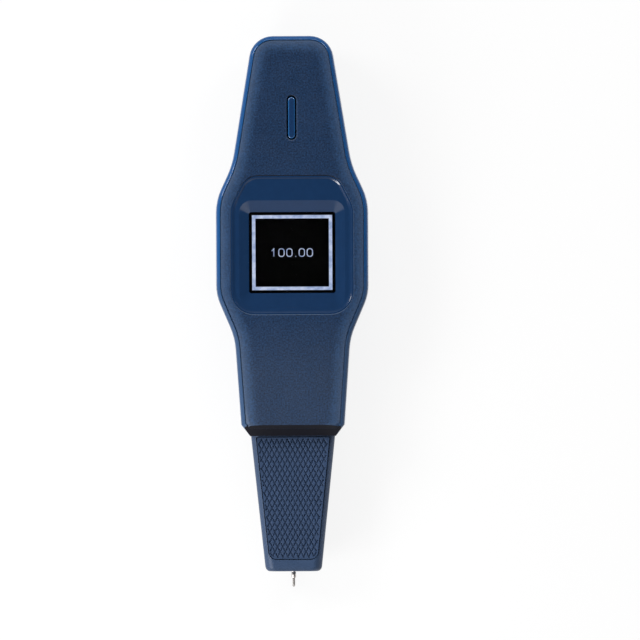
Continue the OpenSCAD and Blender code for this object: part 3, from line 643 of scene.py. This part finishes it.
def coil(low, high):
    """Wire wound about the axis of a box along Y, with a closed turn at each end."""
    middle = (low + high) / 2
    radius = (high.x - low.x) / 2 - WIRE_R
    start, end = low.y + WIRE_R, high.y - WIRE_R
    closed = DEAD_TURNS * DEAD_PITCH * WIRE_R
    turns = ACTIVE_TURNS + 2 * DEAD_TURNS
    count = int(turns * TURN_STEPS)
    verts, faces = [], []
    for i in range(count + 1):
        turn = i / TURN_STEPS
        if turn < DEAD_TURNS:
            y = start + closed * turn / DEAD_TURNS
        elif turn > DEAD_TURNS + ACTIVE_TURNS:
            y = end - closed * (turns - turn) / DEAD_TURNS
        else:
            y = start + closed + (end - start - 2 * closed) * (turn - DEAD_TURNS) / ACTIVE_TURNS
        around = 2 * math.pi * turn
        for k in range(WIRE_SIDES):
            angle = 2 * math.pi * k / WIRE_SIDES
            out = radius + WIRE_R * math.cos(angle)
            verts.append((middle.x + out * math.cos(around), y + WIRE_R * math.sin(angle),
                          middle.z + out * math.sin(around)))
    for i in range(count):
        for k in range(WIRE_SIDES):
            a, b = i * WIRE_SIDES + k, i * WIRE_SIDES + (k + 1) % WIRE_SIDES
            faces.append((a, b, b + WIRE_SIDES, a + WIRE_SIDES))
    faces.append(tuple(range(WIRE_SIDES)))
    faces.append(tuple(range(count * WIRE_SIDES, (count + 1) * WIRE_SIDES)))
    return verts, faces


low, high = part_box("probe_spring")
play = Vector((0, SPRING_PLAY, 0))
verts, faces = coil(low + play, high - play)
spring = make("wound_spring", verts, faces, plated.mat, "case")
outward(spring, 40)
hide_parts("probe_spring")
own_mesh(spring)


# Stage, light and camera

FLOOR_HALF, FLOOR_Z, FLOOR_GREY, FLOOR_GLOW = 3.0, -0.05 * MM, 0.8, 0.86


def stage_floor():
    """Pale floor that looks white to the camera and in gloss and glass, and keeps the shadow."""
    mesh = bpy.data.meshes.new("floor")
    corners = [(right * FLOOR_HALF, top * FLOOR_HALF, FLOOR_Z)
               for right, top in ((-1, -1), (1, -1), (1, 1), (-1, 1))]
    mesh.from_pydata(corners, [], [(0, 1, 2, 3)])
    floor = bpy.data.objects.new("floor", mesh)
    bpy.context.scene.collection.objects.link(floor)
    mat = bpy.data.materials.new("floor")
    mat.use_nodes = True
    mat.node_tree.nodes.clear()
    graph = Graph(mat.node_tree, "Object")
    diffuse = graph.add("ShaderNodeBsdfDiffuse")
    diffuse.inputs["Color"].default_value = (FLOOR_GREY, FLOOR_GREY, FLOOR_GREY, 1)
    white = graph.add("ShaderNodeEmission")
    ray = graph.add("ShaderNodeLightPath").outputs
    seen = graph.math("MAXIMUM", ray["Is Camera Ray"], ray["Is Glossy Ray"])
    seen = graph.math("MAXIMUM", seen, ray["Is Transmission Ray"])
    both = graph.add("ShaderNodeMixShader")
    graph.put(both.inputs[0], graph.product(seen, FLOOR_GLOW))
    graph.put(both.inputs[1], diffuse.outputs[0])
    graph.put(both.inputs[2], white.outputs[0])
    graph.put(graph.add("ShaderNodeOutputMaterial").inputs["Surface"], both.outputs[0])
    mesh.materials.append(mat)
    floor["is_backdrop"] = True


def lamp(name, place, size, power, aim=(0, 0, 0)):
    data = bpy.data.lights.new(name, "AREA")
    data.shape = "RECTANGLE"
    data.size, data.size_y = size
    data.energy = power
    holder = bpy.data.objects.new(name, data)
    bpy.context.scene.collection.objects.link(holder)
    holder.location = place
    holder.rotation_euler = (Vector(aim) - Vector(place)).to_track_quat("-Z", "Y").to_euler()


stage_floor()
lamp("key", (-1.2, 0.75, 1.05), size=(0.7, 0.6), power=17.0)
lamp("end", (0.0, 1.2, 0.95), size=(1.0, 0.5), power=8.0)
lamp("fill", (0.95, 1.0, 1.1), size=(0.5, 0.4), power=8.0)
lamp("lip", (0.0, 0.9, 1.1), size=(1.4, 0.3), power=0.6)
lamp("near", (-0.24, -0.24, 0.19), size=(0.2, 0.14), power=1.25, aim=(0, -0.035, 0))

# Surroundings: light round the horizon, dark overhead, and a soft panel high up beyond the nose
world = bpy.data.worlds.new("studio")
bpy.context.scene.world = world
world.use_nodes = True
sky = Graph(world.node_tree, "Generated")
sky_x, sky_y, sky_z = (sky.axis(which) for which in "XYZ")
from_ground = sky.span(sky_z, 0.0, 0.12, low=0.5, high=1.0)
to_zenith = sky.span(sky_z, 0.3, 0.65, low=1.0, high=0.02)
left_to_right = sky.span(sky_x, -1.0, 1.0, low=0.75, high=0.65)
ring = sky.product(from_ground, to_zenith, left_to_right)
panel_low = sky.span(sky_z, 0.76, 0.83, smooth=True)
panel_high = sky.span(sky_z, 0.96, 0.9, smooth=True)
panel_near = sky.span(sky_y, -0.08, -0.22, smooth=True)
panel_sides = sky.span(sky.math("ABSOLUTE", sky_x), 0.02, 0.3, low=0.55, high=1.35, smooth=True)
panel = sky.product(panel_low, panel_high, panel_near, panel_sides)
background = world.node_tree.nodes["Background"]
background.inputs["Color"].default_value = (1, 1, 1, 1)
sky.put(background.inputs["Strength"], sky.math("ADD", ring, panel))

# Camera straight above, at the photograph's scale on the rim of the case
PICTURE, PIXELS_PER_MM, SENSOR = 640, 3.06, 36.0
REACH, RIM_Z = 3.0, 21 * MM
# The part stands this many pixels left of the middle and is turned by this many degrees
LEFT_PIXELS, CAMERA_Y, TURN = 27.5, -2.8 * MM, -0.27
camera_data = bpy.data.cameras.new("camera")
camera_data.sensor_width = SENSOR
camera_data.lens = SENSOR * REACH / (PICTURE / PIXELS_PER_MM * MM)
camera_data.clip_start, camera_data.clip_end = 0.05, 20.0
camera = bpy.data.objects.new("camera", camera_data)
bpy.context.scene.collection.objects.link(camera)
camera.location = (LEFT_PIXELS / PIXELS_PER_MM * MM, CAMERA_Y, RIM_Z + REACH)
camera.rotation_euler = (0, 0, math.radians(TURN))
bpy.context.scene.camera = camera

bpy.context.scene.view_settings.view_transform = "Standard"

low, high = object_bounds()
